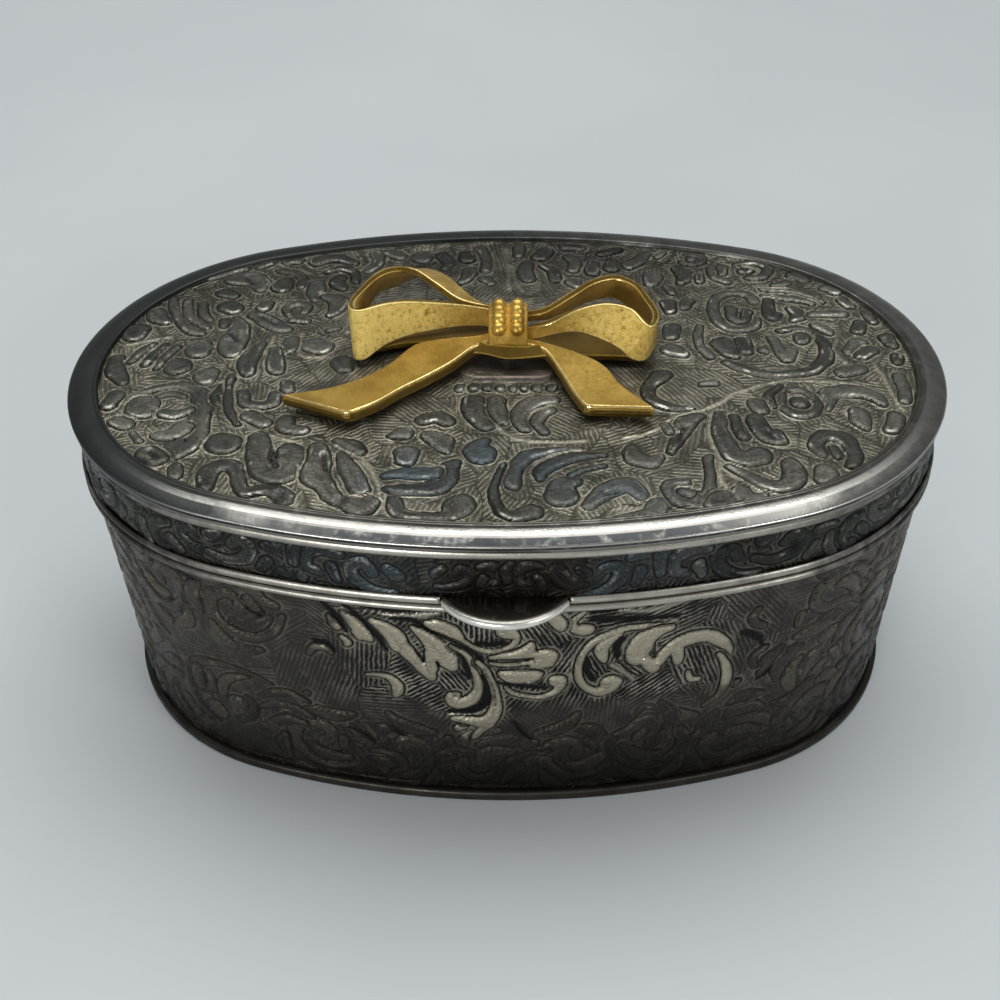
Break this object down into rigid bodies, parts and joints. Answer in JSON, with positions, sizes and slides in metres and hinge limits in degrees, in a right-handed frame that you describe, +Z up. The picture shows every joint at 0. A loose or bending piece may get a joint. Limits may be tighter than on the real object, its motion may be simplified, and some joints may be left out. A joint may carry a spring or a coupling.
{
  "type": "trinket box",
  "caption": "Oval hinged trinket box in embossed, darkened silver plate, with a thumb tab, a lined inside and a gold-coloured ribbon bow on its lid.",
  "frame": {"origin": "middle of the foot's underside, which is also the middle of the part's outline seen from above", "axes": "+X to the box's right as one faces its front, +Y towards the hinge at the back, +Z up"},
  "size_m": [0.114, 0.082, 0.055],
  "materials": {
    "silver_plate": "embossed silver plate, dark in its hollows and rubbed bright on its high places",
    "gold_plate": "satin gold plate with polished edges",
    "velvet": "short-pile velvet"
  },
  "bodies": {
    "body": {"foot_ring": "silver_plate", "base_plate": "silver_plate", "body_wall": "silver_plate", "body_bead": "silver_plate", "body_lip": "silver_plate", "wall_lining": "velvet", "floor_pad": "velvet", "body_hinge_leaf": "silver_plate", "hinge_pin": "silver_plate"},
    "lid": {"lid_hinge_leaf": "silver_plate", "lid_bead": "silver_plate", "lid_skirt": "silver_plate", "lid_cord": "silver_plate", "lid_rim": "silver_plate", "lid_plate": "silver_plate", "lid_lining": "velvet", "thumb_tab": "silver_plate", "bow_left_loop": "gold_plate", "bow_right_loop": "gold_plate", "bow_left_tail": "gold_plate", "bow_right_tail": "gold_plate", "bow_knot": "gold_plate", "bow_stud": "gold_plate"}
  },
  "joints": [
    {"name": "lid_hinge", "type": "hinge", "parent": "body", "child": "lid", "pos_m": [0, 0.03927, 0.03695], "axis": [-1, 0, 0], "range_deg": [0, 100]}
  ]
}
